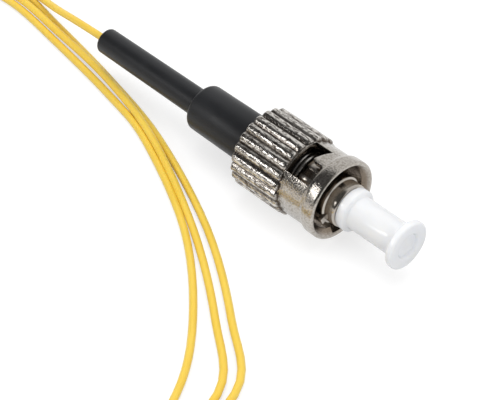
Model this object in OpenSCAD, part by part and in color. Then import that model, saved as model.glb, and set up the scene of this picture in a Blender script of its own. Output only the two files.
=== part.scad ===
// ST fibre connector on a 0.9 mm buffered fibre lead, with its dust cap on.
// Millimetres. X runs along the connector, the nose toward +X. The knurl rests on z = 0.

/* [Boot] */
// Length of the thin tail of the boot
tail_len = 16.4; // [8:0.1:40]
// Diameter of the tail at its rear end
tail_d = 3.1; // [2:0.1:5]
// Length of the thick body of the boot, up to the coupling nut
boot_len = 9.4; // [5:0.1:16]
// Diameter of the thick body where it meets the nut
boot_d = 5.8; // [4.8:0.1:6]

/* [Coupling nut] */
// Outside diameter over the knurl
knurl_d = 9.8; // [8.8:0.1:12]
// Length of the knurled grip
knurl_len = 7; // [6.4:0.1:10]
// Number of teeth round the grip
knurl_teeth = 22; // [16:2:32]
// Depth of the grooves between the teeth
knurl_depth = 0.36; // [0.15:0.01:0.5]
// Diameter of the smooth neck with the bayonet windows
neck_d = 9; // [8.6:0.1:9.4]
// Length of the neck
neck_len = 3.55; // [3.2:0.05:6]
// Diameter of the front rim
rim_d = 9.5; // [9:0.1:10]
// Length of the front rim
rim_len = 1.85; // [1.2:0.05:3]
// Diameter of the mouth that the mating adapter goes into
mouth_d = 7.4; // [7:0.1:7.8]
// Angle about the axis of the middle of the first window, from level to upright
window_angle = 106; // [60:1:160]

/* [Ferrule and holder] */
// Diameter of the ceramic ferrule
ferrule_d = 2.5; // [2.4:0.1:2.6]
// Length of ferrule in front of the holder
ferrule_out = 6.5; // [5:0.1:8]
// Diameter of the front barrel of the holder
barrel_d = 5.5; // [5:0.1:6]
// How far the barrel stands out of the nut
barrel_out = 1.2; // [0.5:0.1:2]
// Diameter of the stem that the nut slides on
stem_d = 3.9; // [3.6:0.1:4]
// Width of the alignment key
key_w = 0.9; // [0.7:0.1:1.2]

/* [Spring] */
// Wire thickness
wire_d = 0.45; // [0.3:0.05:0.5]
// Outside diameter of the spring
spring_d = 6.3; // [5.8:0.1:6.4]
// Turns between the closed ends
live_turns = 4; // [2:1:5]

/* [Dust cap] */
// Length of the cap in front of the holder
cap_len = 8.5; // [7.6:0.1:12]
// Diameter of the cap's tube
cap_d = 3.95; // [3.6:0.05:4.4]
// Diameter of the grip flange on its end
cap_flange_d = 5.8; // [5:0.1:7]

/* [Fibre lead] */
// Diameter of the buffered fibre
cord_d = 0.9; // [0.6:0.05:1.2]

/* [Hidden] */

round_fn = 96;
fine_fn = 48;
run_gap = 0.1; // radial clearance of the nut on the stem

// Stations along X.
total_len = tail_len + boot_len + knurl_len + neck_len + rim_len + barrel_out + cap_len;
rear_x = -total_len / 2;
shoulder_x = rear_x + tail_len;
knurl_x = shoulder_x + boot_len;
neck_x = knurl_x + knurl_len;
rim_x = neck_x + neck_len;
mouth_x = rim_x + rim_len;
barrel_x = mouth_x + barrel_out;
nose_x = barrel_x + cap_len;

// The grip rests on the two teeth beside the groove at the bottom.
axis_z = knurl_d / 2 * cos(180 / knurl_teeth);

// Inside the nut, measured from the rear face of the grip.
recess_depth = 0.9; // for the retaining clip
wall = 1;
washer_t = 0.3;
chamber_x = knurl_x + recess_depth + wall;
chamber_d = spring_d + 0.4;
spring_back_x = chamber_x + washer_t;
flange_t = 1.8;
flange_d = spring_d + 0.1;
flange_x = neck_x + 1; // rear face of the flange on the holder
socket_x = flange_x + 1; // rear end of the ferrule
recess_d = boot_d + 0.35;
clip_t = 0.45;
clip_x = knurl_x + recess_depth - clip_t;
clip_groove_d = stem_d - 0.8;
boot_front_x = clip_x - 0.1;
stem_len = 4.5; // behind the rear face of the grip
stem_x = knurl_x - stem_len;
stem_bore = 1.7;
tube_d = 1.6; // support tube
tube_x = stem_x + 1.5;
tube_len = stem_len + 3;
covered_end_x = tube_x + tube_len - 1;
fibre_d = 0.125;
key_len = 1.4;
key_top = 6.4; // diameter over the key
tip_x = barrel_x + ferrule_out;

// The route of the lead from the rear of the boot to the coil: back from the boot, sideways,
// and height as a share of the drop from the axis to where the lead lies.
lead_route = [
    [0, 0, 1], [2.5, 0.1, 0.96], [6.5, 0.7, 0.75], [11, 1.6, 0.44],
    [15.5, 2.6, 0.16], [20, 3, 0], [24.6, 2],
];
// Centre lines of the outermost and the innermost turn of the large coil, seen from above,
// forward of the rear of the boot and sideways.
outer_turn = [
    [-25, 1.8], [-29.5, -2.5], [-31.5, -8.5], [-30.5, -15.5], [-26, -24.5], [-18.5, -33.5],
    [-8.5, -41.5], [3.5, -47.5], [17, -51.3], [30, -51.8], [41, -48], [48.3, -39.5],
    [47.1, -24.8], [39.4, -17.8], [27.9, -10.3], [13.5, -4.1], [1.7, -1.1], [-10.5, 1.1],
    [-18, 2.2],
];
inner_turn = [
    [-22.8, -0.9], [-26.6, -4.1], [-28.2, -8.9], [-27.4, -14.4], [-23.3, -22.4], [-16.2, -31.1],
    [-6.7, -38.6], [4.8, -44.5], [17.4, -48.1], [29.6, -48.5], [38.8, -45.3], [44.6, -38.6],
    [43, -29.1], [36.6, -20.7], [26.1, -12.1], [12.3, -5.3], [3.5, -3], [-8, -1.1],
    [-17, 0],
];
end_coil_at = [-1.5, -29.8];
end_coil_r = 8; // middle of its winding
coil_h = cord_d * 1.75; // two layers, nested
end_coil_h = cord_d * 2.8; // three layers, nested

// Points of an arc in a plane.
function arc(c, r, from, to, steps = 6) =
    [for (k = [0:steps]) let (a = from + (to - from) * k / steps) c + r * [cos(a), sin(a)]];

// A point of the smooth curve through p, between points k and k + 1.
function between(p, k, t, closed) =
    let (
        n = len(p),
        a = closed ? p[(k + n - 1) % n] : p[max(k - 1, 0)],
        b = p[k % n],
        c = closed ? p[(k + 1) % n] : p[min(k + 1, n - 1)],
        d = closed ? p[(k + 2) % n] : p[min(k + 2, n - 1)]
    )
    0.5 * (2 * b + (c - a) * t + (2 * a - 5 * b + 4 * c - d) * t * t + (3 * b - a - 3 * c + d) * t * t * t);
function smooth_loop(p, steps) =
    [for (k = [0:len(p) - 1], j = [0:steps - 1]) between(p, k, j / steps, true)];
function smooth_line(p, steps) =
    [for (k = [0:len(p) - 2], j = [0:steps - 1]) between(p, k, j / steps, false), p[len(p) - 1]];

// A closed outline moved by d to the left of its direction of travel.
function moved(p, d) =
    let (n = len(p))
    [for (k = [0:n - 1]) let (t = p[(k + 1) % n] - p[(k + n - 1) % n]) p[k] + d * [-t[1], t[0]] / norm(t)];

// Turns what is made along Z to lie along the connector's axis.
module along_axis(x) {
    translate([x, 0, axis_z])
        rotate([90, 0, 90])
            children();
}

// A turned solid from its outline, given as [distance along X, radius].
module turned(outline, facets = round_fn) {
    along_axis(0)
        rotate_extrude($fn = facets)
            polygon([for (p = outline) [p[1], p[0]]]);
}

// A tube along points that lead away from each other smoothly.
module swept_tube(p, r, sides = 8) {
    n = len(p);
    function way(k) =
        let (t = p[min(k + 1, n - 1)] - p[max(k - 1, 0)])
        t / norm(t);
    function ring(k) =
        let (t = way(k), flat = cross(t, [0, 0, 1]), u = flat / norm(flat), v = cross(u, t))
        [for (j = [0:sides - 1]) p[k] + r * (u * cos(360 * (j + 0.5) / sides) + v * sin(360 * (j + 0.5) / sides))];
    polyhedron(
        points = [for (k = [0:n - 1]) each ring(k)],
        faces = [
            [for (j = [0:sides - 1]) j],
            for (k = [0:n - 2], j = [0:sides - 1])
                let (a = k * sides, b = (j + 1) % sides)
                [a + sides + j, a + sides + b, a + b, a + j],
            [for (j = [sides - 1:-1:0]) (n - 1) * sides + j],
        ],
        convexity = 10
    );
}

// ---- Coupling nut ----

// Outline of the grip across the axis: rounded teeth with narrow grooves between them.
function grip_outline() =
    let (shape = [[0, 1], [0.14, 0.95], [0.27, 0.8], [0.38, 0.48], [0.5, 0], [0.62, 0.48], [0.73, 0.8], [0.86, 0.95]])
    [
        for (tooth = [0:knurl_teeth - 1], s = shape)
            let (a = (tooth + 0.5 + s[0]) * 360 / knurl_teeth + 90, r = knurl_d / 2 - knurl_depth * (1 - s[1]))
            r * [cos(a), sin(a)]
    ];

module grip() {
    edge = 0.5; // rounding at the rear
    front = 0.3;
    intersection() {
        along_axis(knurl_x)
            linear_extrude(knurl_len)
                polygon(grip_outline());
        turned([
            [knurl_x - 1, 0],
            [knurl_x, 0],
            for (p = arc([knurl_x + edge, knurl_d / 2 - edge], edge, 180, 90, 4)) p,
            [neck_x - front, knurl_d / 2],
            [neck_x, knurl_d / 2 - front * 1.2],
            [neck_x, 0],
        ]);
    }
}

// The neck and the rim in front of the grip.
module front_barrel() {
    edge = 0.4;
    cove = 0.2;
    turned([
        [neck_x - 0.5, 0],
        [neck_x - 0.5, neck_d / 2],
        [rim_x - cove, neck_d / 2],
        [rim_x, rim_d / 2 - 0.05],
        [rim_x + 0.1, rim_d / 2],
        for (p = arc([mouth_x - edge, rim_d / 2 - edge], edge, 90, 0, 4)) p,
        [mouth_x, 0],
    ]);
}

// What is open along the axis: clip recess, stem bore, spring chamber and mouth.
module nut_bores() {
    chamfer = 0.25;
    turned([
        [knurl_x - 1, 0],
        [knurl_x - 1, recess_d / 2],
        [knurl_x + recess_depth, recess_d / 2],
        [knurl_x + recess_depth, stem_d / 2 + run_gap],
        [chamber_x, stem_d / 2 + run_gap],
        [chamber_x, chamber_d / 2],
        [neck_x, chamber_d / 2],
        [neck_x, mouth_d / 2],
        [mouth_x - chamfer, mouth_d / 2],
        [mouth_x, mouth_d / 2 + chamfer],
        [mouth_x + 1, mouth_d / 2 + chamfer],
        [mouth_x + 1, 0],
    ]);
}

// One bayonet track at an angle about the axis: the window through the wall, with its
// locking pocket and crest, and the covered groove that a lug enters from the front.
module bayonet_track(angle) {
    half = neck_d * 0.232; // half the width of the window
    step = -neck_d * 0.05; // where the pocket ends and the crest begins
    back_x = neck_x - 0.05;
    pocket_x = rim_x - 0.15;
    crest_x = rim_x - 1.1;
    corner = 0.35;
    crest_round = 0.4;
    lug_angle = 22;
    skin = 0.25; // of the neck over the groove
    along_axis(0)
        rotate([0, 0, angle]) {
            translate([neck_d / 4, 0, 0])
                rotate([90, 0, 90])
                    linear_extrude(neck_d / 2)
                        polygon([
                            [-half, back_x],
                            [half, back_x],
                            for (p = arc([half - corner, pocket_x - corner], corner, 0, 90)) p,
                            for (p = arc([step + corner, pocket_x - corner], corner, 90, 180)) p,
                            for (p = arc([step - crest_round, crest_x + crest_round], crest_round, 0, -90)) p,
                            [-half, crest_x],
                        ]);
            rotate_extrude(angle = lug_angle, start = -30, $fn = round_fn)
                translate([mouth_d / 2 - 0.5, crest_x - 0.3])
                    square([(neck_d - mouth_d) / 2 + 0.5 - skin, mouth_x - crest_x + 1]);
        }
}

module coupling_nut() {
    color("silver")
        difference() {
            union() {
                grip();
                front_barrel();
            }
            nut_bores();
            for (side = [0, 180])
                bayonet_track(window_angle + side);
        }
}

// ---- Spring and its seats ----

module thrust_washer() {
    color("gainsboro")
        turned([
            [chamber_x, stem_d / 2 + run_gap],
            [spring_back_x, stem_d / 2 + run_gap],
            [spring_back_x, chamber_d / 2 - 0.1],
            [chamber_x, chamber_d / 2 - 0.1],
        ]);
}

module coil_spring() {
    end_turns = 1.5;
    steps = 20; // for each turn
    pitch_end = wire_d * 1.04;
    first = spring_back_x + wire_d / 2;
    last = flange_x - wire_d / 2;
    closed = end_turns * pitch_end;
    live = last - first - 2 * closed;
    turns = 2 * end_turns + live_turns;
    function reach(t) =
        t < end_turns ? first + t * pitch_end
        : t > turns - end_turns ? last - (turns - t) * pitch_end
        : first + closed + live * (t - end_turns) / live_turns;
    r = (spring_d - wire_d) / 2;
    color("lightgray")
        swept_helix([for (k = [0:turns * steps]) [reach(k / steps), r, 360 * k / steps]], wire_d / 2);
}

// A wire through points given as [x, distance from the axis, angle].
module swept_helix(p, r, sides = 8) {
    n = len(p);
    polyhedron(
        points = [
            for (q = p, j = [0:sides - 1])
                let (a = 360 * j / sides, out = q[1] + r * cos(a))
                [q[0] + r * sin(a), out * cos(q[2]), axis_z + out * sin(q[2])]
        ],
        faces = [
            [for (j = [sides - 1:-1:0]) j],
            for (k = [0:n - 2], j = [0:sides - 1])
                let (a = k * sides, b = (j + 1) % sides)
                each [[a + j, a + b, a + sides + j], [a + b, a + sides + b, a + sides + j]],
            [for (j = [0:sides - 1]) (n - 1) * sides + j],
        ],
        convexity = 20
    );
}

// A spring-steel ring, open on one side, in the groove behind the nut's rear wall.
module retaining_clip() {
    opening = 70; // degrees
    color("darkgray")
        along_axis(clip_x)
            rotate_extrude(angle = 360 - opening, start = 90 + opening / 2, $fn = fine_fn)
                translate([clip_groove_d / 2, 0])
                    square([(recess_d - clip_groove_d) / 2 - 0.35, clip_t]);
}

// ---- Ferrule and holder ----

module ferrule_holder() {
    barb = 1.1;
    chamfer = 0.15;
    nose = 0.35;
    groove_play = 0.02;
    color("lightslategray")
        difference() {
            turned([
                [stem_x, 0],
                for (k = [0:2]) each [
                    [stem_x + k * barb, stem_d / 2 - 0.3],
                    [stem_x + (k + 0.85) * barb, stem_d / 2],
                    [stem_x + (k + 1) * barb, stem_d / 2],
                ],
                [clip_x - groove_play, stem_d / 2],
                [clip_x - groove_play, clip_groove_d / 2],
                [clip_x + clip_t + groove_play, clip_groove_d / 2],
                [clip_x + clip_t + groove_play, stem_d / 2],
                [flange_x, stem_d / 2],
                [flange_x, flange_d / 2 - chamfer],
                [flange_x + chamfer, flange_d / 2],
                [flange_x + flange_t - chamfer, flange_d / 2],
                [flange_x + flange_t, flange_d / 2 - chamfer],
                [flange_x + flange_t, barrel_d / 2],
                [barrel_x - nose, barrel_d / 2],
                [barrel_x, barrel_d / 2 - nose],
                [barrel_x, 0],
            ]);
            turned([
                [stem_x - 1, 0],
                [stem_x - 1, stem_bore / 2],
                [socket_x, stem_bore / 2],
                [socket_x, ferrule_d / 2],
                [barrel_x - 0.25, ferrule_d / 2],
                [barrel_x + 0.05, ferrule_d / 2 + 0.3],
                [barrel_x + 1, ferrule_d / 2 + 0.3],
                [barrel_x + 1, 0],
            ]);
            flange_slots();
            key_seat();
        }
}

// Two slots across the edge of the flange, for the tool that turns the holder.
module flange_slots() {
    slot_w = 1;
    slot_depth = 0.45;
    for (side = [0, 180])
        along_axis(flange_x - 1)
            rotate([0, 0, window_angle + 12 + side])
                translate([flange_d / 2 - slot_depth, -slot_w / 2, 0])
                    cube([2, slot_w, flange_t + 1]);
}

// The place of the key: turned below level on the side away from the window.
module at_key() {
    along_axis(mouth_x - key_len)
        rotate([0, 0, window_angle + 92])
            children();
}

module key_seat() {
    at_key()
        translate([barrel_d / 2 - 0.5, -key_w / 2, 0])
            cube([1, key_w, key_len]);
}

module alignment_key() {
    color("silver")
        at_key()
            translate([barrel_d / 2 - 0.5, -key_w / 2, 0])
                cube([key_top / 2 - barrel_d / 2 + 0.5, key_w, key_len]);
}

module ferrule() {
    bore = fibre_d + 0.001;
    tip = 0.4;
    color("white")
        difference() {
            turned([
                [socket_x, 0],
                [socket_x, ferrule_d / 2 - 0.2],
                [socket_x + 0.2, ferrule_d / 2],
                [tip_x - tip, ferrule_d / 2],
                [tip_x - tip * 0.35, ferrule_d / 2 - tip * 0.6],
                [tip_x, ferrule_d / 2 - tip * 1.6],
                [tip_x, 0],
            ]);
            along_axis(socket_x - 1)
                cylinder(h = tip_x - socket_x + 2, d = bore, $fn = fine_fn);
        }
}

// ---- Fibre inside the connector ----

module bare_fibre() {
    color("aliceblue")
        along_axis(covered_end_x)
            cylinder(h = tip_x - covered_end_x, d = fibre_d, $fn = fine_fn);
}

module epoxy_fill() {
    back_x = tube_x + tube_len;
    color("goldenrod")
        turned([
            [back_x, fibre_d / 2],
            [socket_x, fibre_d / 2],
            [socket_x, stem_bore / 2],
            [back_x, stem_bore / 2],
        ]);
}

module support_tube() {
    color("white")
        turned([
            [tube_x, cord_d / 2 + 0.05],
            [tube_x + tube_len, cord_d / 2 + 0.05],
            [tube_x + tube_len, tube_d / 2],
            [tube_x, tube_d / 2],
        ], fine_fn);
}

// The stretch of the buffered fibre inside the boot and the holder's stem.
module covered_fibre() {
    color("gold")
        along_axis(rear_x)
            cylinder(h = covered_end_x - rear_x, d = cord_d, $fn = fine_fn);
}

// ---- Boot ----

module strain_relief_boot() {
    edge = 0.3;
    round = 0.55; // of the shoulder
    tail_end_d = tail_d + 0.22;
    body_back_d = boot_d - 0.18;
    crease = 0.12;
    color("#2a2a2c")
        difference() {
            turned([
                [rear_x, 0],
                for (p = arc([rear_x + edge, tail_d / 2 - edge], edge, 180, 90)) p,
                [shoulder_x - 0.35, tail_end_d / 2],
                [shoulder_x - 0.05, tail_end_d / 2 - crease],
                [shoulder_x, tail_end_d / 2 - crease],
                for (p = arc([shoulder_x + round, body_back_d / 2 - round], round, 180, 90)) p,
                [boot_front_x, boot_d / 2],
                [boot_front_x, 0],
            ]);
            turned([
                [rear_x - 1, 0],
                [rear_x - 1, cord_d / 2 + 0.25],
                [rear_x, cord_d / 2 + 0.25],
                [rear_x + 1, cord_d / 2 + 0.05],
                [stem_x - 0.4, cord_d / 2 + 0.05],
                [stem_x - 0.1, stem_d / 2],
                [boot_front_x + 1, stem_d / 2],
                [boot_front_x + 1, 0],
            ]);
        }
}

// ---- Dust cap ----

module dust_cap() {
    mouth_len = 1.2; // thicker collar at the mouth
    mouth_w = 5;
    flange = 1;
    edge = 0.28;
    dimple_d = cap_d * 0.74;
    dimple_depth = 0.35;
    bore = ferrule_d + 0.04;
    end_gap = 0.3; // in front of the ferrule's tip
    cap_r = cap_flange_d / 2;
    color("whitesmoke")
        difference() {
            turned([
                [barrel_x, 0],
                [barrel_x, mouth_w / 2 - 0.15],
                [barrel_x + 0.15, mouth_w / 2],
                [barrel_x + mouth_len - 0.3, mouth_w / 2],
                [barrel_x + mouth_len, cap_d / 2 + 0.05],
                [barrel_x + mouth_len + 0.1, cap_d / 2],
                [nose_x - flange - 0.12, cap_d / 2],
                [nose_x - flange, cap_d / 2 + 0.12],
                for (p = arc([nose_x - flange + edge, cap_r - edge], edge, 180, 90)) p,
                for (p = arc([nose_x - edge, cap_r - edge], edge, 90, 0)) p,
                [nose_x, dimple_d / 2 + 0.15],
                [nose_x - 0.15, dimple_d / 2],
                [nose_x - dimple_depth, dimple_d / 2 - 0.1],
                [nose_x - dimple_depth, 0],
            ]);
            turned([
                [barrel_x - 1, 0],
                [barrel_x - 1, bore / 2 + 0.2],
                [barrel_x, bore / 2 + 0.2],
                [barrel_x + 0.3, bore / 2],
                [tip_x + end_gap, bore / 2],
                [tip_x + end_gap, 0],
            ]);
        }
}

// ---- Fibre lead ----

module fibre_lead() {
    drop = axis_z - cord_d / 2;
    route = [
        for (p = lead_route)
            [rear_x - p[0], p[1], cord_d / 2 + drop * (len(p) > 2 ? p[2] : 0)]
    ];
    color("gold")
        swept_tube(smooth_line(route, 2), cord_d / 2);
}

module fibre_coil() {
    color("gold")
        translate([rear_x, 0, 0])
            linear_extrude(coil_h)
                difference() {
                    polygon(moved(smooth_loop(outer_turn, 3), -cord_d / 2));
                    polygon(moved(smooth_loop(inner_turn, 3), cord_d / 2));
                }
}

module fibre_end_coil() {
    color("gold")
        translate([rear_x + end_coil_at[0], end_coil_at[1], 0])
            rotate_extrude($fn = round_fn)
                translate([end_coil_r - cord_d, 0])
                    square([cord_d * 2, end_coil_h]);
}

coupling_nut();
thrust_washer();
coil_spring();
retaining_clip();
ferrule_holder();
alignment_key();
ferrule();
bare_fibre();
epoxy_fill();
support_tube();
covered_fibre();
strain_relief_boot();
dust_cap();
fibre_lead();
fibre_coil();
fibre_end_coil();
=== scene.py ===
# %% [markdown]
# # A bayonet fibre connector on its yellow lead
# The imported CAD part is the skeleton: it says where every piece is and how the nut and
# the cap move. Here the pieces that the eye meets get their rounded edges and their real
# finishes: nickel on die-cast zinc, black elastomer, milky polyethylene, yellow buffer.

import math

import bmesh
import bpy
from mathutils import Matrix, Vector


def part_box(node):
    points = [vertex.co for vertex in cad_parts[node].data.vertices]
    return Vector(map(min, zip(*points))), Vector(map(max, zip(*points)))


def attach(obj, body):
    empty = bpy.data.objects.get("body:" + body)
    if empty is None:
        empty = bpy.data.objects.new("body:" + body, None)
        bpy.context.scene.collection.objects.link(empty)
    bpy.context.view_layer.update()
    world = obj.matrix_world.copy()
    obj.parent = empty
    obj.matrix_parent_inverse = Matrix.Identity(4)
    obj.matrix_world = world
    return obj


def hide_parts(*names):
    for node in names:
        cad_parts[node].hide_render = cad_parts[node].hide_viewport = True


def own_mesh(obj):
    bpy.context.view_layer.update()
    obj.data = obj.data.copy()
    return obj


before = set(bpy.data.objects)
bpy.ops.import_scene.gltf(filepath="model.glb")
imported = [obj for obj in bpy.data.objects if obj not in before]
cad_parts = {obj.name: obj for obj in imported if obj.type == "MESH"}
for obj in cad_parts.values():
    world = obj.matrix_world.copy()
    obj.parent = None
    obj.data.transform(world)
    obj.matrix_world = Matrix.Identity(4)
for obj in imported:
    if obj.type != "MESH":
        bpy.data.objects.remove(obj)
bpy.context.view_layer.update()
MM = 0.001

# %% [markdown]
# The stations along the connector come from the CAD boxes, so that every modelled piece
# sits where the solid that it stands for sits. Lengths below are millimetres.

# %% Stations
nut_low, nut_high = (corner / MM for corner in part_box("coupling_nut"))
boot_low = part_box("strain_relief_boot")[0] / MM
cap_low, cap_high = (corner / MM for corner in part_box("dust_cap"))
AXIS_Z = (cap_low.z + cap_high.z) / 2
GRIP_X, MOUTH_X = nut_low.x, nut_high.x
NECK_X = GRIP_X + 7.0
REAR_X = boot_low.x
print("axis height", round(AXIS_Z, 3), "grip from", round(GRIP_X, 3), "mouth at", round(MOUTH_X, 3))

# %% [markdown]
# ## Camera
# A long lens from the front left, well above the surface. The lens is long because the
# boot hardly narrows with distance: its two sides stay nearly parallel in the picture.

# %% Camera
azimuth, elevation, distance = math.radians(45.61), math.radians(43.52), 250.6
target = Vector((0.045, 0.0, -4.58))
toward_camera = Vector((
    math.sin(azimuth) * math.cos(elevation),
    -math.cos(azimuth) * math.cos(elevation),
    math.sin(elevation),
))
camera_data = bpy.data.cameras.new("camera")
camera_data.lens = 158.4
camera_data.sensor_width = 36.0
camera_data.clip_start = 0.01
camera = bpy.data.objects.new("camera", camera_data)
camera.location = (target + toward_camera * distance) * MM
camera.rotation_euler = (-toward_camera).to_track_quat("-Z", "Y").to_euler()
bpy.context.scene.collection.objects.link(camera)
bpy.context.scene.camera = camera
print("camera", distance, "mm away with a lens of", camera_data.lens, "mm")

# %% [markdown]
# ## Colour and nodes
# Colours are written as sRGB hex values, the way a colour picker shows them, and one
# function turns them into the linear values that the renderer adds up. One more function
# adds a node, sets its sockets and links it.

# %% Helpers for colour and nodes
def linear(code):
    """The linear colour of an sRGB hex value."""
    parts = [int(code[k:k + 2], 16) / 255 for k in (1, 3, 5)]
    return tuple(c / 12.92 if c <= 0.04045 else ((c + 0.055) / 1.055) ** 2.4 for c in parts) + (1.0,)


def add_node(tree, kind, inputs=None, **settings):
    """Adds a node. A value in inputs is a number, a colour, or an output socket to link."""
    made = tree.nodes.new(kind)
    for name, value in settings.items():
        setattr(made, name, value)
    for key, value in (inputs or {}).items():
        if isinstance(value, bpy.types.NodeSocket):
            tree.links.new(value, made.inputs[key])
        else:
            made.inputs[key].default_value = value
    return made


def new_material(name):
    """An empty material: its node tree, its surface shader and its object coordinates."""
    made = bpy.data.materials.new(name)
    made.use_nodes = True
    tree = made.node_tree
    shader = tree.nodes["Principled BSDF"]
    place = add_node(tree, "ShaderNodeTexCoord").outputs["Object"]
    return made, tree, shader, place


def radius_about_axis(tree, place):
    """How far a point of the surface is from the connector's axis, as a socket."""
    from_axis = add_node(tree, "ShaderNodeVectorMath", {0: place, 1: (0, 0, AXIS_Z * MM)}, operation="SUBTRACT")
    across = add_node(tree, "ShaderNodeVectorMath", {0: from_axis.outputs[0], 1: (0, 1, 1)}, operation="MULTIPLY")
    return add_node(tree, "ShaderNodeVectorMath", {0: across.outputs[0]}, operation="LENGTH").outputs["Value"]


def dress(piece, material):
    """Gives a piece one finish all over."""
    piece.data.materials.clear()
    piece.data.materials.append(material)


print("helpers for colour and nodes are ready, black is", linear("#000000"))

# %% [markdown]
# ## The lead
# A fibre lead is a fixed length of 0.9 mm buffered fibre: stiff enough to keep smooth
# curves, heavy enough to lie flat. It leaves the boot level, comes down to the surface and
# is wound in loose turns. The turns that cross the view are listed point by point; the rest of each
# turn is blended between the outermost and the innermost line by a loop. What is left of
# the metre is wound small beside them and ends cut, ready for a splice.

# %% Route of the lead
CORD_D = 0.9
REST_Z = CORD_D / 2
drop = AXIS_Z - REST_Z
lead_route = [
    (0, 0, 1), (2.5, 0.1, 0.96), (6.5, 0.7, 0.75), (11, 1.6, 0.44), (15.5, 2.6, 0.16), (20, 3, 0),
]
hidden_outer = [
    (-25, 1.8), (-29.5, -2.5), (-31.5, -8.5), (-30.5, -15.5), (-26, -24.5), (-18.5, -33.5),
    (-8.5, -41.5), (3.5, -47.5), (17, -51.3), (30, -51.8), (41, -48), (48.3, -39.5),
]
hidden_inner = [
    (-22.8, -0.9), (-26.6, -4.1), (-28.2, -8.9), (-27.4, -14.4), (-23.3, -22.4), (-16.2, -31.1),
    (-6.7, -38.6), (4.8, -44.5), (17.4, -48.1), (29.6, -48.5), (38.8, -45.3), (44.6, -38.6),
]
seen_turns = [
    [(47.1, -24.8, 0), (39.4, -17.8, 0), (27.9, -10.3, 0), (13.5, -4.1, 0), (1.7, -1.1, 0),
     (-10.5, 1.1, 0), (-18, 2.2, 0)],
    [(45.9, -26.1, 0), (38.2, -19, 0), (26.8, -11.4, 0.05), (13.2, -4.9, 0.5), (1.9, -1.7, 0.65),
     (-9.2, -0.1, 0.65), (-17, 0.7, 0.65)],
    [(43, -29.1, 0), (36.6, -20.7, 0), (26.1, -12.1, 0), (12.3, -5.3, 0), (3.5, -3, 0),
     (-8, -1.1, 0), (-17, 0, 0)],
]


def hidden_turn(share, count=len(hidden_outer)):
    """The part of a turn outside the view, a share of the way from outermost to innermost."""
    pairs = zip(hidden_outer[:count], hidden_inner[:count])
    return [(a[0] + (b[0] - a[0]) * share, a[1] + (b[1] - a[1]) * share, 0) for a, b in pairs]


large_turns = []
for number, seen in enumerate(seen_turns):
    large_turns += hidden_turn(number / 3) + seen
large_turns += hidden_turn(1, count=5)

# %% [markdown]
# The small coil is a helix in three layers of two turns. It is entered from the last
# large turn, beside it, so nothing has to cross.

# %% Small coil
coil_centre = (-1.5, -29.8)
inner_r, outer_r = 7.55, 8.5
entry_angle = 205
small_coil = []
STEPS = 16
for layer in range(3):
    first, last = (outer_r, inner_r) if layer % 2 == 0 else (inner_r, outer_r)
    for step in range(2 * STEPS):
        turn = step / STEPS
        blend = min(max((turn - 0.85) / 0.3, 0), 1)
        radius = first + (last - first) * blend
        climb = min(max((turn - 1.8) / 0.2, 0), 1)
        angle = math.radians(entry_angle + 360 * (2 * layer + turn))
        small_coil.append((
            coil_centre[0] + radius * math.cos(angle),
            coil_centre[1] + radius * math.sin(angle),
            (layer + (climb if layer < 2 else 0)) * 0.8,
        ))
route = [Vector((REAR_X - back, side, REST_Z + drop * share)) for back, side, share in lead_route]
route += [Vector((REAR_X + x, y, REST_Z + lift)) for x, y, lift in large_turns + small_coil]


def smooth(points, steps):
    """Points of the smooth curve that passes through the given ones."""
    line = []
    for k in range(len(points) - 1):
        a, b, c, d = (points[min(max(k + j, 0), len(points) - 1)] for j in (-1, 0, 1, 2))
        for step in range(steps):
            t = step / steps
            line.append(0.5 * (2 * b + (c - a) * t + (2 * a - 5 * b + 4 * c - d) * t ** 2
                               + (3 * b - a - 3 * c + d) * t ** 3))
            line[-1].z = max(line[-1].z, REST_Z)
    return line + [points[-1]]


cord_line = smooth(route, 6)
cord_length = sum((b - a).length for a, b in zip(cord_line, cord_line[1:]))
print("lead", round(cord_length), "mm in", len(cord_line), "points")

# %% [markdown]
# ### Yellow buffer
# The lead's outside is thermoplastic extruded over the fibre and cooled in a trough. A
# plain colour would do from afar, but up close such a skin is satin, a little translucent,
# and its tone drifts by a hair every few millimetres. A soft noise mixes two near yellows,
# and a little light is let under the skin.

# %% Yellow buffer
yellow_buffer, tree, shader, place = new_material("yellow_extruded_buffer")
drift = add_node(tree, "ShaderNodeTexNoise", {"Vector": place, "Scale": 1 / (6 * MM), "Detail": 2.0})
tone = add_node(
    tree, "ShaderNodeMix", {0: drift.outputs["Fac"], 6: linear("#E9C23E"), 7: linear("#F3D25A")},
    data_type="RGBA")
tree.links.new(tone.outputs[2], shader.inputs["Base Color"])
shader.inputs["Roughness"].default_value = 0.36
shader.inputs["IOR"].default_value = 1.5
shader.inputs["Subsurface Weight"].default_value = 0.15
shader.inputs["Subsurface Radius"].default_value = (0.6 * MM, 0.4 * MM, 0.15 * MM)
shader.inputs["Subsurface Scale"].default_value = 1.0
print("material", yellow_buffer.name)

# %% [markdown]
# The lead itself is a curve through the route's points, with a round section of the
# buffer's diameter. A sweep along a curve keeps the section round in every bend, which a
# bent cylinder would not. It stands for the three closed solids of the lead.

# %% Lead
curve = bpy.data.curves.new("fibre_cord", "CURVE")
curve.dimensions = "3D"
curve.bevel_depth = CORD_D / 2 * MM
curve.bevel_resolution = 4
curve.use_fill_caps = True
spline = curve.splines.new("POLY")
spline.points.add(len(cord_line) - 1)
for point, at in zip(spline.points, cord_line):
    point.co = (*(at * MM), 1.0)
spline.use_smooth = True
fibre_cord = bpy.data.objects.new("fibre_cord", curve)
bpy.context.scene.collection.objects.link(fibre_cord)
dress(fibre_cord, yellow_buffer)
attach(fibre_cord, "connector")
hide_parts("fibre_lead", "fibre_coil", "fibre_end_coil")
print("lead swept with", len(spline.points), "points")

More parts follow.
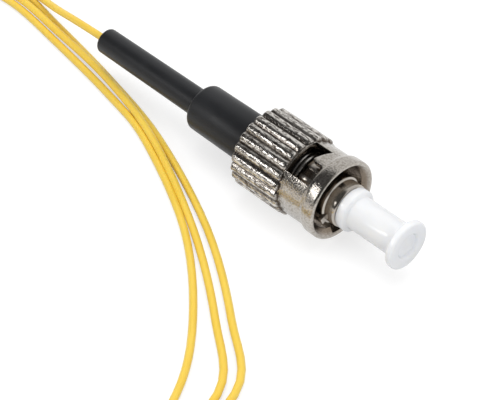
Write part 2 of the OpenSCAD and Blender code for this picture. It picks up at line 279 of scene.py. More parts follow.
# %% [markdown]
# ## Turning and rounding
# Most of the connector is lathe work: an outline turned about one axis. Here that is done
# as by hand: a point is extruded along the outline and then spun. The outline is given as
# millimetres along X and a radius. Sharp edges get a small rounding from a Bevel modifier,
# because the bright line along an edge is what makes metal and plastic look real.

# %% Helpers for shaping
def only(piece):
    """Selects one piece and nothing else."""
    bpy.ops.object.select_all(action="DESELECT")
    piece.select_set(True)
    bpy.context.view_layer.objects.active = piece


def corner(centre, radius, start, end, steps=5):
    """Outline points of a rounded corner, from one angle in degrees to another."""
    angles = [math.radians(start + (end - start) * k / steps) for k in range(steps + 1)]
    return [(centre[0] + radius * math.cos(a), centre[1] + radius * math.sin(a)) for a in angles]


def lathe(name, outline, steps):
    """A turned piece. A closed outline ends where it starts; an open one ends on the axis."""
    bpy.ops.object.select_all(action="DESELECT")
    x, r = outline[0]
    bpy.ops.mesh.primitive_plane_add(size=MM, location=(x * MM, 0, (AXIS_Z + r) * MM))
    piece = bpy.context.object
    piece.name = piece.data.name = name
    bpy.ops.object.transform_apply(location=True, rotation=True, scale=True)
    bpy.ops.object.mode_set(mode="EDIT")
    bpy.ops.mesh.select_all(action="SELECT")
    bpy.ops.mesh.merge(type="CENTER")
    for (x0, r0), (x1, r1) in zip(outline, outline[1:]):
        bpy.ops.mesh.extrude_region_move(
            TRANSFORM_OT_translate={"value": ((x1 - x0) * MM, 0, (r1 - r0) * MM)})
    bpy.ops.mesh.select_all(action="SELECT")
    bpy.ops.mesh.spin(steps=steps, angle=2 * math.pi, center=(0, 0, AXIS_Z * MM), axis=(1, 0, 0))
    bpy.ops.mesh.select_all(action="SELECT")
    bpy.ops.mesh.remove_doubles(threshold=0.001 * MM)
    bpy.ops.mesh.normals_make_consistent(inside=False)
    bpy.ops.object.mode_set(mode="OBJECT")
    return piece


def round_edges(piece, width, segments=2, angle=35):
    """Rounds the sharp edges of a piece and shades the rest smooth."""
    only(piece)
    bevel = piece.modifiers.new("rounding", "BEVEL")
    bevel.width = width * MM
    bevel.segments = segments
    bevel.limit_method = "ANGLE"
    bevel.angle_limit = math.radians(angle)
    bevel.use_clamp_overlap = False
    bpy.ops.object.modifier_apply(modifier=bevel.name)
    bpy.ops.object.shade_smooth_by_angle(angle=math.radians(30))


def cut(piece, cutter):
    """Takes the cutter's shape out of the piece and deletes the cutter."""
    only(piece)
    step = piece.modifiers.new("cut", "BOOLEAN")
    step.operation = "DIFFERENCE"
    step.solver = "EXACT"
    step.object = cutter
    bpy.ops.object.modifier_apply(modifier=step.name)
    bpy.data.objects.remove(cutter)


def turn_place(vertex):
    """Where a vertex is, in millimetres along X, radius, and degrees about the axis."""
    y, z = vertex.co.y / MM, vertex.co.z / MM - AXIS_Z
    return vertex.co.x / MM, math.hypot(y, z), math.degrees(math.atan2(z, y)) % 360


# %% [markdown]
# ## Coupling nut
# The nut is one zinc die casting. It is modelled in two pieces that meet where the neck
# leaves the grip, because each wants its own number of steps round the axis.
# The grip is turned first. Then every groove is pressed in by scaling the columns of
# vertices toward the axis, more in the middle of the groove than on its flanks.

# %% Grip of the nut
TEETH, COLUMNS = 22, 8
GROOVE = (1.0, 0.52, 0.2, 0.05, 0.0, 0.05, 0.2, 0.52)  # share of the groove's depth, column by column
GROOVE_DEPTH = 0.36
GRIP_R = 4.9
grip_outline = [(0, 3.075)] + corner((0.25, 4.65), 0.25, 180, 90) + [(6.65, GRIP_R)] + corner(
    (6.7, 4.65), 0.25, 90, 40, 3) + [
    (7.0, 4.6), (7.0, 3.35), (1.9, 3.35), (1.9, 2.05), (0.9, 2.05), (0.9, 3.075), (0, 3.075)]
nut_grip = lathe("nut_grip", [(GRIP_X + x, r) for x, r in grip_outline], TEETH * COLUMNS)
only(nut_grip)
bpy.ops.object.mode_set(mode="EDIT")
bpy.ops.mesh.select_mode(type="VERT")
pitch = 360 / (TEETH * COLUMNS)
for column, share in enumerate(GROOVE):
    if share:
        mesh = bmesh.from_edit_mesh(nut_grip.data)
        for vertex in mesh.verts:
            x, radius, angle = turn_place(vertex)
            vertex.select = radius > 4.2 and round((angle - 90) / pitch) % COLUMNS == column
        mesh.select_flush_mode()
        bmesh.update_edit_mesh(nut_grip.data)
        scale = 1 - share * GROOVE_DEPTH / GRIP_R
        bpy.ops.transform.resize(value=(1, scale, scale), center_override=(0, 0, AXIS_Z * MM))
bpy.ops.object.mode_set(mode="OBJECT")
round_edges(nut_grip, 0.05, 2, angle=48)
print("grip", len(nut_grip.data.polygons), "faces")

# %% [markdown]
# The neck and rim carry the two bayonet windows. Each window is cut by a block with the
# window's outline: a back wall, a locking pocket on one side and a crest on the other.
# Behind the crest's skin a second cutter opens the groove that a lug enters by.

# %% Neck and rim of the nut
WINDOW_ANGLE = 104
barrel_outline = [
    (6.6, 4.5), (10.2, 4.5), (10.4, 4.54), (10.65, 4.7), (10.85, 4.79), (11.1, 4.82),
] + corner((12.1, 4.52), 0.3, 90, 0, 6) + [
    (12.4, 4.44), (11.68, 3.7), (6.6, 3.7), (6.6, 4.5)]
nut_barrel = lathe("nut_barrel", [(GRIP_X + x, r) for x, r in barrel_outline], 144)


def window_cutter(angle):
    """A block with the outline of a window, turned to its angle about the axis."""
    half, step, back, pocket, crest, entry = 2.385, -0.09, 7.05, 10.45, 8.75, 9.45
    outline = [(-half, back), (half, back)] + corner((half - 0.35, pocket - 0.35), 0.35, 0, 90) + corner(
        (step + 0.35, pocket - 0.35), 0.35, 90, 180) + corner((step - 0.35, crest + 0.35), 0.35, 0, -75) + [
        (-half, entry)]
    bpy.ops.object.select_all(action="DESELECT")
    start = ((GRIP_X + outline[0][1]) * MM, -outline[0][0] * MM, (AXIS_Z + 2.5) * MM)
    bpy.ops.mesh.primitive_plane_add(size=MM, location=start)
    block = bpy.context.object
    bpy.ops.object.transform_apply(location=True)
    bpy.ops.object.mode_set(mode="EDIT")
    bpy.ops.mesh.select_all(action="SELECT")
    bpy.ops.mesh.merge(type="CENTER")
    for (side0, x0), (side1, x1) in zip(outline, outline[1:] + outline[:1]):
        bpy.ops.mesh.extrude_region_move(
            TRANSFORM_OT_translate={"value": ((x1 - x0) * MM, (side0 - side1) * MM, 0)})
    bpy.ops.mesh.select_all(action="SELECT")
    bpy.ops.mesh.remove_doubles(threshold=0.001 * MM)
    bpy.ops.mesh.edge_face_add()
    bpy.ops.mesh.extrude_region_move(TRANSFORM_OT_translate={"value": (0, 0, 4 * MM)})
    bpy.ops.mesh.select_all(action="SELECT")
    bpy.ops.mesh.normals_make_consistent(inside=False)
    bpy.ops.object.mode_set(mode="OBJECT")
    return turn_about_axis(block, angle - 90)


def turn_about_axis(piece, angle):
    """Turns a finished piece's mesh about the connector's axis, by degrees from +Y to +Z."""
    centre = Vector((0, 0, AXIS_Z * MM))
    turn = Matrix.Rotation(math.radians(angle), 4, "X")
    piece.data.transform(Matrix.Translation(centre) @ turn @ Matrix.Translation(-centre))
    return piece


for side in (0, 180):
    cut(nut_barrel, window_cutter(WINDOW_ANGLE + side))
round_edges(nut_barrel, 0.06, 2)
print("barrel", len(nut_barrel.data.polygons), "faces")

# %% [markdown]
# A lug enters each window through a groove that is open at the mouth and covered by a thin
# skin. A short arc of a ring, turned through part of a circle, cuts that groove.

# %% Lug grooves
def groove_cutter(angle):
    """An arc of a ring, open to the mouth, for one lug."""
    bpy.ops.object.select_all(action="DESELECT")
    low, high, back, front = 3.2, 4.25, 8.55, 13.4
    middle = Vector(((GRIP_X + (back + front) / 2) * MM, 0, (AXIS_Z + (low + high) / 2) * MM))
    bpy.ops.mesh.primitive_plane_add(size=1, location=middle, rotation=(math.pi / 2, 0, 0))
    arc_piece = bpy.context.object
    arc_piece.scale = ((front - back) * MM, (high - low) * MM, 1)
    bpy.ops.object.transform_apply(location=True, rotation=True, scale=True)
    bpy.ops.object.mode_set(mode="EDIT")
    bpy.ops.mesh.select_all(action="SELECT")
    bpy.ops.mesh.spin(steps=12, angle=math.radians(22), center=(0, 0, AXIS_Z * MM), axis=(1, 0, 0))
    bpy.ops.mesh.select_all(action="SELECT")
    bpy.ops.mesh.normals_make_consistent(inside=False)
    bpy.ops.object.mode_set(mode="OBJECT")
    middle_angle = sum(turn_place(v)[2] for v in arc_piece.data.vertices) / len(arc_piece.data.vertices)
    return turn_about_axis(arc_piece, angle - middle_angle)


for side in (0, 180):
    cut(nut_barrel, groove_cutter(WINDOW_ANGLE - 19 + side))
bpy.ops.object.shade_smooth_by_angle(angle=math.radians(30))
print("barrel with grooves", len(nut_barrel.data.polygons), "faces")

# %% [markdown]
# ## Boot
# The boot is one moulding of black elastomer: a thin tail that bends with the lead, a
# rounded shoulder, and a thick body pushed onto the holder's barbs. It is turned, with
# its bore, from one closed outline.

# %% Boot
boot_outline = corner((0.3, 1.25), 0.3, 180, 90) + [
    (15.95, 1.64), (16.12, 1.5), (16.3, 1.42), (16.4, 1.44),
] + corner((16.95, 2.26), 0.55, 180, 90) + [
    (26.15, 2.9), (26.15, 2.0), (21.4, 2.0), (21.1, 0.5), (1.0, 0.5), (0, 0.7), (0, 1.25)]
boot = lathe("strain_relief", [(REAR_X + x, r) for x, r in boot_outline], 72)
round_edges(boot, 0.05, 2, angle=50)
print("boot", len(boot.data.polygons), "faces")

# %% [markdown]
# ## Holder, key and ferrule
# The holder is a turned brass body, nickel plated. Its flange carries the spring and shows
# through the windows; its barrel stands a little out of the nut. Two slots in the flange's
# edge take the tool that sets its angle.

# %% Holder
BARREL_X = cap_low.x
FLANGE_X = NECK_X + 1.0
STEP_X = MOUTH_X - 0.2
holder_outline = [
    (GRIP_X + 0.5, 1.25), (GRIP_X + 0.5, 1.95), (FLANGE_X, 1.95), (FLANGE_X, 3.2), (FLANGE_X + 1.8, 3.2),
    (FLANGE_X + 1.8, 2.85), (STEP_X - 0.1, 2.85), (STEP_X, 2.6),
] + corner((BARREL_X - 0.3, 2.3), 0.3, 90, 0) + [
    (BARREL_X, 1.45), (BARREL_X - 0.2, 1.25), (GRIP_X + 0.5, 1.25)]
holder = lathe("holder", holder_outline, 72)
bpy.ops.object.select_all(action="DESELECT")
bpy.ops.mesh.primitive_cube_add(size=MM, location=((FLANGE_X + 0.9) * MM, 3.4 * MM, AXIS_Z * MM))
slot_cutter = bpy.context.object
slot_cutter.scale = (4, 1.3, 1)
bpy.ops.object.transform_apply(location=True, rotation=True, scale=True)
for side in (0, 180):
    only(slot_cutter)
    bpy.ops.object.duplicate()
    cut(holder, turn_about_axis(bpy.context.object, WINDOW_ANGLE + 14 + side))
bpy.data.objects.remove(slot_cutter)
round_edges(holder, 0.06, 2, angle=40)
print("holder", len(holder.data.polygons), "faces")

# %% [markdown]
# The key is a small block pressed into the barrel, a little past level on the side away
# from the window. A cube of its size is turned about the axis to its place, and its edges
# are rounded.

# %% Key
bpy.ops.object.select_all(action="DESELECT")
key_low, key_high = (corner_at / MM for corner_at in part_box("alignment_key"))
key_x = (key_low.x + key_high.x) / 2
bpy.ops.mesh.primitive_cube_add(size=MM, location=(key_x * MM, 2.82 * MM, AXIS_Z * MM))
key = bpy.context.object
key.name = key.data.name = "key"
key.scale = (key_high.x - key_low.x, 0.95, 0.9)
bpy.ops.object.transform_apply(location=True, rotation=True, scale=True)
turn_about_axis(key, WINDOW_ANGLE + 94)
round_edges(key, 0.1, 3)
print("key", len(key.data.polygons), "faces")

# %% [markdown]
# The ferrule is ground ceramic: a straight cylinder with a wide, polished curve at its
# tip, where it meets the other fibre. It is turned from an open outline that ends on the
# axis.

# %% Ferrule
TIP_X = BARREL_X + 6.5
ferrule_outline = [
    (FLANGE_X + 1, 0), (FLANGE_X + 1, 1.05), (FLANGE_X + 1.2, 1.25), (TIP_X - 0.4, 1.25),
] + corner((TIP_X - 0.55, 0.7), 0.55, 90, 0) + [(TIP_X, 0)]
ferrule = lathe("ceramic_ferrule", ferrule_outline, 64)
round_edges(ferrule, 0.05, 2)
print("ferrule", len(ferrule.data.polygons), "faces, tip at", round(TIP_X, 2))

# %% [markdown]
# ## Spring
# The spring is bright round wire with closed ends: the last turn and a half at each end lie
# against each other, and the live turns open between them. A curve with a round section
# draws it, and it becomes a mesh.

# %% Spring
WIRE_D, SPRING_R, END_TURNS, LIVE_TURNS = 0.45, 2.925, 1.5, 4
spring_back, spring_front = NECK_X - 4.8 + WIRE_D / 2, FLANGE_X - WIRE_D / 2
closed_pitch = WIRE_D * 1.04  # a hair more than the wire, so that closed turns don't cut
closed_len = END_TURNS * closed_pitch
live_pitch = (spring_front - spring_back - 2 * closed_len) / LIVE_TURNS
turns = 2 * END_TURNS + LIVE_TURNS
spring_line = []
for k in range(int(turns * 48) + 1):
    t = k / 48
    if t < END_TURNS:
        x = spring_back + t * closed_pitch
    elif t > turns - END_TURNS:
        x = spring_front - (turns - t) * closed_pitch
    else:
        x = spring_back + closed_len + live_pitch * (t - END_TURNS)
    around = 2 * math.pi * t
    y, z = SPRING_R * math.cos(around), AXIS_Z + SPRING_R * math.sin(around)
    spring_line.append((x * MM, y * MM, z * MM))
data = bpy.data.curves.new("return_spring", "CURVE")
data.dimensions = "3D"
data.bevel_depth = WIRE_D / 2 * MM
data.bevel_resolution = 3
data.use_fill_caps = True
spline = data.splines.new("POLY")
spline.points.add(len(spring_line) - 1)
for point, at in zip(spline.points, spring_line):
    point.co = (*at, 1)
return_spring = bpy.data.objects.new("return_spring", data)
bpy.context.scene.collection.objects.link(return_spring)
only(return_spring)
bpy.ops.object.convert(target="MESH")
bpy.ops.object.shade_smooth_by_angle(angle=math.radians(40))
print("spring", turns, "turns, live pitch", round(live_pitch, 2))

# %% [markdown]
# ## Dust cap
# The cap is moulded polyethylene: a thin tube with a collar at its mouth and a flange to
# pull it by, with a shallow dimple in its end. Its bore fits over the ferrule.

# %% Dust cap
cap_outline = [(8.15, 0), (8.15, 1.36), (8.35, 1.46), (8.5, 1.61)] + corner(
    (8.22, 2.62), 0.28, 0, 90) + corner((7.88, 2.62), 0.26, 90, 180, 4) + [
    (7.6, 2.3), (7.3, 2.1), (6.7, 1.99), (6.3, 1.975), (1.4, 1.975), (1.3, 2.03), (1.05, 2.5), (0.15, 2.5),
    (0, 2.35), (0, 1.47), (0.3, 1.27), (6.8, 1.27), (6.8, 0)]
cap_tube = lathe("cap", [(BARREL_X + x, r) for x, r in cap_outline], 72)
round_edges(cap_tube, 0.05, 2)
print("cap", len(cap_tube.data.polygons), "faces")

# %% [markdown]
# ## Finishes
# ### Nickel on the die-cast grip
# The nut is cast in zinc, tumbled to take off the flash, then nickel plated. The plating
# is bright but the casting under it is not flat, so reflections break up into short
# streaks along the ribs. The bottoms of the grooves get a darker and warmer colour, which is
# painted shade. One noise, drawn out along the connector, roughens and dents the surface;
# the distance from the axis tells crest from groove and places the painted shade.

# %% Nickel on the grip
grip_nickel, tree, shader, place = new_material("nickel_on_tumbled_zinc_casting")
radius = radius_about_axis(tree, place)
# Painted shade: this mask runs from the groove bottoms (0) to the crests (1).
crest = add_node(tree, "ShaderNodeMapRange", {
    "Value": radius, "From Min": (GRIP_R - GROOVE_DEPTH) * MM, "From Max": (GRIP_R - 0.08) * MM})
drawn_out = add_node(tree, "ShaderNodeMapping", {"Vector": place, "Scale": (0.4, 1, 1)})
streaks = add_node(tree, "ShaderNodeTexNoise", {
    "Vector": drawn_out.outputs["Vector"], "Scale": 1 / (0.24 * MM), "Detail": 4.0, "Roughness": 0.65})
pits = add_node(
    tree, "ShaderNodeMapRange", {"Value": streaks.outputs["Fac"], "From Min": 0.4, "From Max": 0.56})
plating = add_node(
    tree, "ShaderNodeMix", {0: pits.outputs["Result"], 6: linear("#57514B"), 7: linear("#D6D2CC")},
    data_type="RGBA")
# The painted shade: groove bottoms take a darker, warmer colour than the crests.
tone = add_node(
    tree, "ShaderNodeMix", {0: crest.outputs["Result"], 6: linear("#5A5149"), 7: plating.outputs[2]},
    data_type="RGBA")
haze = add_node(tree, "ShaderNodeMapRange", {
    "Value": streaks.outputs["Fac"], "From Min": 0.3, "From Max": 0.7, "To Min": 0.3, "To Max": 0.1})
dents = add_node(
    tree, "ShaderNodeBump", {"Strength": 1.0, "Distance": 0.04 * MM, "Height": streaks.outputs["Fac"]})
tree.links.new(tone.outputs[2], shader.inputs["Base Color"])
tree.links.new(haze.outputs["Result"], shader.inputs["Roughness"])
tree.links.new(dents.outputs["Normal"], shader.inputs["Normal"])
shader.inputs["Metallic"].default_value = 1.0
dress(nut_grip, grip_nickel)
print("material", grip_nickel.name)

# %% [markdown]
# ### Nickel on the neck and rim
# The neck and rim are the same casting, but smooth enough for the plating to mirror its
# surroundings, with a faint waviness like orange peel. Inside the windows and the mouth
# the colour is darker and browner, which is painted shade. A rounder, shallower noise makes
# the waviness, and the distance from the axis again tells outside from the painted shade inside.

# %% Nickel on the neck and rim
rim_nickel, tree, shader, place = new_material("bright_nickel_on_zinc_casting")
radius = radius_about_axis(tree, place)
# Painted shade: this mask runs from the inner surfaces (0) to the outside (1).
outside = add_node(tree, "ShaderNodeMapRange", {"Value": radius, "From Min": 4.05 * MM, "From Max": 4.45 * MM})
peel = add_node(tree, "ShaderNodeTexNoise", {
    "Vector": place, "Scale": 1 / (0.2 * MM), "Detail": 3.0, "Roughness": 0.55})
pits = add_node(
    tree, "ShaderNodeMapRange", {"Value": peel.outputs["Fac"], "From Min": 0.4, "From Max": 0.55})
plating = add_node(
    tree, "ShaderNodeMix", {0: pits.outputs["Result"], 6: linear("#9A948C"), 7: linear("#B7B2AB")},
    data_type="RGBA")
# The painted shade: surfaces inside the windows and the mouth take a darker, browner colour.
tone = add_node(
    tree, "ShaderNodeMix", {0: outside.outputs["Result"], 6: linear("#84786B"), 7: plating.outputs[2]},
    data_type="RGBA")
haze = add_node(tree, "ShaderNodeMapRange", {
    "Value": peel.outputs["Fac"], "From Min": 0.3, "From Max": 0.7, "To Min": 0.2, "To Max": 0.1})
waves = add_node(
    tree, "ShaderNodeBump", {"Strength": 1.0, "Distance": 0.035 * MM, "Height": peel.outputs["Fac"]})
tree.links.new(tone.outputs[2], shader.inputs["Base Color"])
tree.links.new(haze.outputs["Result"], shader.inputs["Roughness"])
tree.links.new(waves.outputs["Normal"], shader.inputs["Normal"])
shader.inputs["Metallic"].default_value = 1.0
dress(nut_barrel, rim_nickel)
print("material", rim_nickel.name)

# %% [markdown]
# ### Nickel on turned brass
# The holder and its key come off a lathe, so under the plating run fine rings round the
# axis. They could be a wave pattern, but a cutting tool's marks are uneven. A noise that
# reads only the place along the axis and the distance from it gives uneven rings.

# %% Nickel on the holder
holder_nickel, tree, shader, place = new_material("nickel_on_turned_brass")
radius = radius_about_axis(tree, place)
along = add_node(tree, "ShaderNodeSeparateXYZ", {"Vector": place})
ring_place = add_node(tree, "ShaderNodeCombineXYZ", {"X": along.outputs["X"], "Y": radius})
rings = add_node(tree, "ShaderNodeTexNoise", {
    "Vector": ring_place.outputs["Vector"], "Scale": 1 / (0.12 * MM), "Detail": 2.0})
tone = add_node(
    tree, "ShaderNodeMix", {0: rings.outputs["Fac"], 6: linear("#968E84"), 7: linear("#BDB8B1")},
    data_type="RGBA")
cuts = add_node(
    tree, "ShaderNodeBump", {"Strength": 0.5, "Distance": 0.004 * MM, "Height": rings.outputs["Fac"]})
tree.links.new(tone.outputs[2], shader.inputs["Base Color"])
tree.links.new(cuts.outputs["Normal"], shader.inputs["Normal"])
shader.inputs["Metallic"].default_value = 1.0
shader.inputs["Roughness"].default_value = 0.17
dress(holder, holder_nickel)
dress(key, holder_nickel)
print("material", holder_nickel.name)

# %% [markdown]
# ### Spring steel
# The spring is hard-drawn wire, and the washer and the clip are stamped from strip of the
# same steel. Drawing and rolling leave fine scratches and a cooler grey than nickel, with
# small oily patches. A fine noise varies the roughness, a coarse one the tone.

# %% Spring steel
spring_steel, tree, shader, place = new_material("drawn_spring_steel")
patches = add_node(tree, "ShaderNodeTexNoise", {"Vector": place, "Scale": 1 / (1.2 * MM), "Detail": 2.0})
scratches = add_node(tree, "ShaderNodeTexNoise", {"Vector": place, "Scale": 1 / (0.08 * MM), "Detail": 2.0})
tone = add_node(
    tree, "ShaderNodeMix", {0: patches.outputs["Fac"], 6: linear("#8F8C88"), 7: linear("#BBB9B5")},
    data_type="RGBA")
haze = add_node(tree, "ShaderNodeMapRange", {
    "Value": scratches.outputs["Fac"], "From Min": 0.3, "From Max": 0.7, "To Min": 0.18, "To Max": 0.34})
tree.links.new(tone.outputs[2], shader.inputs["Base Color"])
tree.links.new(haze.outputs["Result"], shader.inputs["Roughness"])
shader.inputs["Metallic"].default_value = 1.0
dress(return_spring, spring_steel)
for name in ("thrust_washer", "retaining_clip"):
    for material_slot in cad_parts[name].material_slots:
        material_slot.material = spring_steel
print("material", spring_steel.name)

# %% [markdown]
# ### Black elastomer
# The boot is moulded thermoplastic rubber. Its mould is lightly spark-textured, so the
# black has a fine grain and only a broad soft shine, a little greyer where hands and
# trays have rubbed it. The grain is a noise of 0.15 mm; the rubbed patches are millimetres
# wide.

# %% Black elastomer
black_elastomer, tree, shader, place = new_material("moulded_black_elastomer")
rubbed = add_node(tree, "ShaderNodeTexNoise", {"Vector": place, "Scale": 1 / (3 * MM), "Detail": 3.0})
tone = add_node(
    tree, "ShaderNodeMix", {0: rubbed.outputs["Fac"], 6: linear("#17181A"), 7: linear("#232427")},
    data_type="RGBA")
haze = add_node(tree, "ShaderNodeMapRange", {
    "Value": rubbed.outputs["Fac"], "From Min": 0.3, "From Max": 0.7, "To Min": 0.38, "To Max": 0.48})
grain = add_node(tree, "ShaderNodeTexNoise", {"Vector": place, "Scale": 1 / (0.15 * MM), "Detail": 2.0})
texture = add_node(
    tree, "ShaderNodeBump", {"Strength": 0.5, "Distance": 0.012 * MM, "Height": grain.outputs["Fac"]})
tree.links.new(tone.outputs[2], shader.inputs["Base Color"])
tree.links.new(haze.outputs["Result"], shader.inputs["Roughness"])
tree.links.new(texture.outputs["Normal"], shader.inputs["Normal"])
shader.inputs["IOR"].default_value = 1.5
shader.inputs["Specular IOR Level"].default_value = 0.32
dress(boot, black_elastomer)
print("material", black_elastomer.name)

# %% [markdown]
# ### Natural polyethylene
# The cap is moulded without pigment. Polyethylene is milky by itself: light goes about a
# millimetre into the wall and comes out again, so shadows on it are soft and pale. Its
# skin is smooth and takes one crisp highlight, a little wavy where the melt flowed.

# %% Natural polyethylene
milky_cap, tree, shader, place = new_material("natural_polyethylene")
cloud = add_node(tree, "ShaderNodeTexNoise", {"Vector": place, "Scale": 1 / (2.5 * MM), "Detail": 2.0})
tone = add_node(
    tree, "ShaderNodeMix", {0: cloud.outputs["Fac"], 6: linear("#E8EAEE"), 7: linear("#F0F1F4")},
    data_type="RGBA")
flow = add_node(
    tree, "ShaderNodeBump", {"Strength": 0.3, "Distance": 0.02 * MM, "Height": cloud.outputs["Fac"]})
tree.links.new(tone.outputs[2], shader.inputs["Base Color"])
tree.links.new(flow.outputs["Normal"], shader.inputs["Normal"])
shader.inputs["Roughness"].default_value = 0.2
shader.inputs["IOR"].default_value = 1.51
shader.inputs["Subsurface Weight"].default_value = 0.5
shader.inputs["Subsurface Radius"].default_value = (1.2 * MM, 1.3 * MM, 1.5 * MM)
shader.inputs["Subsurface Scale"].default_value = 1.0
dress(cap_tube, milky_cap)
print("material", milky_cap.name)

# %% [markdown]
# ### Polished ceramic
# The ferrule is zirconia, sintered and then ground and polished: ivory white, a little
# translucent, with a sharp gloss from its high index. It shows when the cap is off. A
# coarse noise gives the faint clouds that the sintered powder leaves.

# %% Polished zirconia
zirconia, tree, shader, place = new_material("polished_zirconia")
sinter = add_node(tree, "ShaderNodeTexNoise", {"Vector": place, "Scale": 1 / (0.6 * MM), "Detail": 3.0})
tone = add_node(
    tree, "ShaderNodeMix", {0: sinter.outputs["Fac"], 6: linear("#EAE7DD"), 7: linear("#F3F1EA")},
    data_type="RGBA")
tree.links.new(tone.outputs[2], shader.inputs["Base Color"])
shader.inputs["Roughness"].default_value = 0.09
shader.inputs["IOR"].default_value = 2.1
shader.inputs["Subsurface Weight"].default_value = 0.1
shader.inputs["Subsurface Radius"].default_value = (0.4 * MM, 0.35 * MM, 0.3 * MM)
shader.inputs["Subsurface Scale"].default_value = 1.0
dress(ferrule, zirconia)
print("material", zirconia.name)

# %% [markdown]
# ### Glass, resin and tube
# The bare fibre is drawn silica, the resin behind the ferrule cures amber, and the guide
# tube is extruded nylon. They show only when the part is cut or taken apart, so they stay
# as the CAD has them and get only the finish of each.

# %% Glass, resin and tube
glass, tree, shader, place = new_material("silica_fibre")
dust = add_node(tree, "ShaderNodeTexNoise", {"Vector": place, "Scale": 1 / (0.2 * MM)})
haze = add_node(tree, "ShaderNodeMapRange", {"Value": dust.outputs["Fac"], "To Min": 0.0, "To Max": 0.06})
tree.links.new(haze.outputs["Result"], shader.inputs["Roughness"])
shader.inputs["Base Color"].default_value = linear("#F6FAFC")
shader.inputs["Transmission Weight"].default_value = 1.0
shader.inputs["IOR"].default_value = 1.46
resin, tree, shader, place = new_material("cured_amber_epoxy")
cloud = add_node(tree, "ShaderNodeTexNoise", {"Vector": place, "Scale": 1 / (0.5 * MM), "Detail": 2.0})
tone = add_node(
    tree, "ShaderNodeMix", {0: cloud.outputs["Fac"], 6: linear("#A9711F"), 7: linear("#D9A548")},
    data_type="RGBA")
tree.links.new(tone.outputs[2], shader.inputs["Base Color"])
shader.inputs["Transmission Weight"].default_value = 0.6
shader.inputs["Roughness"].default_value = 0.12
shader.inputs["IOR"].default_value = 1.55
nylon, tree, shader, place = new_material("extruded_white_nylon")
drift = add_node(tree, "ShaderNodeTexNoise", {"Vector": place, "Scale": 1 / (1.5 * MM), "Detail": 2.0})
tone = add_node(
    tree, "ShaderNodeMix", {0: drift.outputs["Fac"], 6: linear("#DEDEDA"), 7: linear("#EEEEEA")},
    data_type="RGBA")
tree.links.new(tone.outputs[2], shader.inputs["Base Color"])
shader.inputs["Roughness"].default_value = 0.35
shader.inputs["IOR"].default_value = 1.53
for name, finish in (
    ("bare_fibre", glass), ("epoxy_fill", resin), ("support_tube", nylon), ("covered_fibre", yellow_buffer),
):
    for material_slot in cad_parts[name].material_slots:
        material_slot.material = finish
    print(name, "is", finish.name, "in", len(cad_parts[name].material_slots), "slots")

# %% [markdown]
# ## Places in the frame
# Every modelled piece rides on the body of the solid that it stands for, and takes its
# place. In the real part the spring's rear end goes forward with the nut while its front end
# stays on the flange; here the spring rides on the connector's body and gets a mesh of its own.

# %% Places in the frame
for piece, body, node, slot in (
    (nut_grip, "nut", "coupling_nut", "nickel_plating"),
    (nut_barrel, "nut", "coupling_nut", "nickel_plating"),
    (boot, "connector", "strain_relief_boot", "boot_rubber"),
    (holder, "connector", "ferrule_holder", "holder_nickel"),
    (key, "connector", "alignment_key", "holder_nickel"),
    (ferrule, "connector", "ferrule", "zirconia"),
    (return_spring, "connector", "coil_spring", "spring_steel"),
    (cap_tube, "cap", "dust_cap", "cap_plastic"),
):
    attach(piece, body)
    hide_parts(node)
    print(piece.name, "rides on", body, "for", node)
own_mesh(return_spring)

# %% [markdown]
# ## Surface and light
# The connector lies on plain white. The floor takes the soft shadows, and adds a little
# light of its own that only the camera, mirrors and clear things see, so that it reads as
# white without more light falling on the object.

# %% Floor
bpy.context.scene.view_settings.view_transform = "Standard"
bpy.ops.object.select_all(action="DESELECT")
bpy.ops.mesh.primitive_plane_add(size=4.0, location=(0, 0, 0))
floor = bpy.context.object
floor.name = "floor"
white_floor, tree, shader, place = new_material("white_paper_floor")
shader.inputs["Base Color"].default_value = linear("#B4B4B4")
shader.inputs["Roughness"].default_value = 0.9
shader.inputs["Specular IOR Level"].default_value = 0.0
rays = add_node(tree, "ShaderNodeLightPath")
seen_ray = add_node(
    tree, "ShaderNodeMath", {0: rays.outputs["Is Camera Ray"], 1: rays.outputs["Is Glossy Ray"]},
    operation="ADD")
seen_ray = add_node(
    tree, "ShaderNodeMath", {0: seen_ray.outputs[0], 1: rays.outputs["Is Transmission Ray"]},
    operation="ADD", use_clamp=True)
glow = add_node(tree, "ShaderNodeMath", {0: seen_ray.outputs[0], 1: 0.62}, operation="MULTIPLY")
shader.inputs["Emission Color"].default_value = (1, 1, 1, 1)
tree.links.new(glow.outputs[0], shader.inputs["Emission Strength"])
dress(floor, white_floor)
print("floor", white_floor.name)

# %% [markdown]
# Polished metal is a picture of its room, so the room needs a bright side and a dark side.
# The world is bright beyond the connector and dark behind the camera, with a soft edge
# between them: that draws the dark band along the nut's near side. The camera itself sees
# plain white.

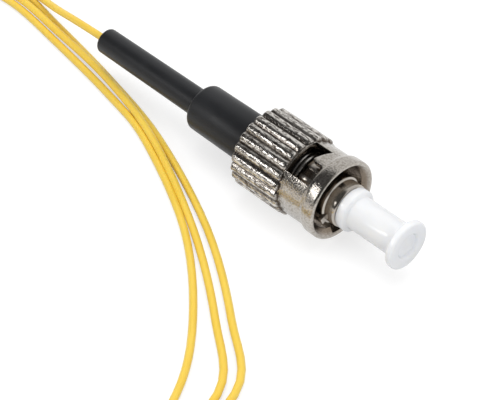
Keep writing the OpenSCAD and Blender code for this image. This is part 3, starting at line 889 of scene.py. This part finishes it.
# %% World and lamps
world = bpy.data.worlds.new("studio")
bpy.context.scene.world = world
world.use_nodes = True
tree = world.node_tree
background = tree.nodes["Background"]
TO_BRIGHT_SIDE = (0, 0.961, -0.276)  # level and away from the camera, tipped down by 16 degrees
DIFFUSE_LEVEL = 0.62  # what matt surfaces get from all round
direction = add_node(tree, "ShaderNodeTexCoord")
far_side = add_node(
    tree, "ShaderNodeVectorMath", {0: direction.outputs["Generated"], 1: TO_BRIGHT_SIDE},
    operation="DOT_PRODUCT")
room = add_node(tree, "ShaderNodeMapRange", {
    "Value": far_side.outputs["Value"], "From Min": -0.2, "From Max": 0.15, "To Min": 0.09, "To Max": 0.95},
    interpolation_type="SMOOTHSTEP")
rays = add_node(tree, "ShaderNodeLightPath")
soft_or_mirrored = add_node(
    tree, "ShaderNodeMix", {0: rays.outputs["Is Glossy Ray"], 2: DIFFUSE_LEVEL, 3: room.outputs["Result"]},
    data_type="FLOAT")
strength = add_node(
    tree, "ShaderNodeMath", {0: soft_or_mirrored.outputs[0], 1: rays.outputs["Is Camera Ray"]},
    operation="MAXIMUM")
background.inputs["Color"].default_value = (1, 1, 1, 1)
tree.links.new(strength.outputs[0], background.inputs["Strength"])
print("world", world.name, "with its bright side toward", TO_BRIGHT_SIDE)

# %% [markdown]
# Four plain lamps light the connector. A large one overhead gives the level light, and a
# small one from the front left draws the crisp line along the cap. A broader one below it
# lifts the near side of the boot and the ribs. The last fills the cap's end. The overhead
# and the end lamps don't show in polished metal.

# %% Lamps

def soft_lamp(name, at, size, watts, aim=(0, 0, 3), size_y=None):
    """A rectangular lamp, placed in millimetres, that faces a point."""
    data = bpy.data.lights.new(name, "AREA")
    data.shape = "RECTANGLE"
    data.size = size * MM
    data.size_y = (size_y or size) * MM
    data.energy = watts
    lamp = bpy.data.objects.new(name, data)
    lamp.location = Vector(at) * MM
    lamp.rotation_euler = (Vector(aim) - Vector(at)).to_track_quat("-Z", "Y").to_euler()
    bpy.context.scene.collection.objects.link(lamp)
    return lamp


overhead = soft_lamp("top_softbox", (-40, 40, 320), 260, 0.5)
overhead.visible_glossy = False
soft_lamp("key_lamp", (-207, -275, 203), 55, 0.14)
soft_lamp("low_front_lamp", (-150, -300, 150), 100, 0.13, aim=(-10, 0, 4))
nose_fill = soft_lamp("nose_fill", (300, -120, 120), 160, 0.28)
nose_fill.visible_glossy = False
